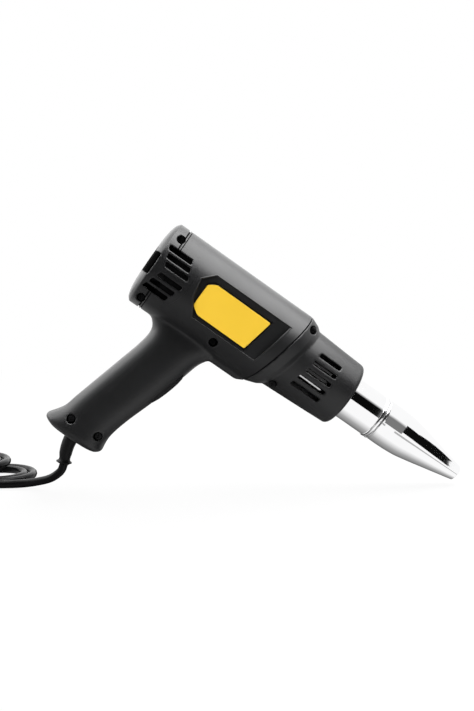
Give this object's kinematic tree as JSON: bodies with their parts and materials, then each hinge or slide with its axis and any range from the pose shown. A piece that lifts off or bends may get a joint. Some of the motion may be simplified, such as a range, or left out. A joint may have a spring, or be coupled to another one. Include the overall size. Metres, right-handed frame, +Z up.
{
  "type": "hot air tool",
  "caption": "Pistol-shaped black hot air tool with slotted intake cap and nose, yellow side plates, chromed barrel, pull-off reducer nozzle, rocker switch and folded mains lead.",
  "frame": {"origin": "middle of the hand grip, on the tool's middle plane", "axes": "+Z up as the tool is held with its barrel 35.1 degrees below the horizontal; +X is the way the barrel points, seen from above; +Y is sideways, towards the tool's left-hand side"},
  "size_m": [0.594, 0.1163, 0.2023],
  "materials": {
    "black_plastic": "fine-textured moulded black plastic",
    "cap_plastic": "moulded black plastic",
    "chrome": "polished chrome plate",
    "yellow_plate": "smooth yellow plate",
    "zinc": "bright zinc plate",
    "mica": "pale brown mica and ceramic fibre",
    "heating_wire": "bare resistance wire",
    "pale_plastic": "off-white heat-proof plastic",
    "steel": "plain steel",
    "board": "green circuit board",
    "brass": "bare brass",
    "ferrite": "dull dark grey ferrite and carbon",
    "copper": "lacquered copper",
    "black_rubber": "soft black rubber",
    "red_sleeve": "red wire insulation",
    "blue_sleeve": "blue wire insulation",
    "cord_jacket": "black flexible cord jacket"
  },
  "bodies": {
    "tool": {"housing_right": "black_plastic", "housing_left": "black_plastic", "nose_shell": "black_plastic", "rear_cap": "cap_plastic", "switch_body": "cap_plastic", "plug_body": "cap_plastic", "motor_mount": "cap_plastic", "barrel_tube": "chrome", "plate_right": "yellow_plate", "plate_left": "yellow_plate", "cap_screw_1": "zinc", "cap_screw_2": "zinc", "cap_screw_3": "zinc", "cap_screw_4": "zinc", "nose_screw_1": "zinc", "nose_screw_2": "zinc", "nose_screw_3": "zinc", "nose_screw_4": "zinc", "body_screw_1": "zinc", "body_screw_2": "zinc", "body_screw_3": "zinc", "insulating_sleeve": "mica", "heater_base": "mica", "heater_grid": "mica", "heater_cross": "mica", "heating_coil": "heating_wire", "air_funnel": "pale_plastic", "motor_end_cap": "pale_plastic", "motor_can": "steel", "rocker_pin": "steel", "rectifier_board": "board", "rear_bush": "brass", "front_bush": "brass", "switch_terminal_1": "brass", "switch_terminal_2": "brass", "switch_terminal_3": "brass", "plug_pin_1": "brass", "plug_pin_2": "brass", "magnet_upper": "ferrite", "magnet_lower": "ferrite", "brush_right": "ferrite", "brush_left": "ferrite", "strain_relief": "black_rubber", "hank_tie": "black_rubber", "live_lead": "red_sleeve", "neutral_lead": "blue_sleeve", "cord_run": "cord_jacket", "cord_hank": "cord_jacket"},
    "reducer": {"reducer_nozzle": "chrome"},
    "rotor": {"motor_shaft": "steel", "rotor_core": "copper", "commutator": "copper", "fan_wheel": "cap_plastic"},
    "rocker": {"switch_rocker": "black_rubber"}
  },
  "joints": [
    {"name": "reducer_slide", "type": "slide", "parent": "tool", "child": "reducer", "axis": [0.8181, 0, -0.575], "range_m": [0, 0.03]},
    {"name": "rotor_spin", "type": "hinge", "parent": "tool", "child": "rotor", "pos_m": [0.06377, 0, 0.0603], "axis": [0.8181, 0, -0.575], "continuous": true},
    {"name": "rocker_tilt", "type": "hinge", "parent": "tool", "child": "rocker", "pos_m": [0.0242, 0, -0.00083], "axis": [0, 1, 0], "range_deg": [-11, 11]}
  ]
}
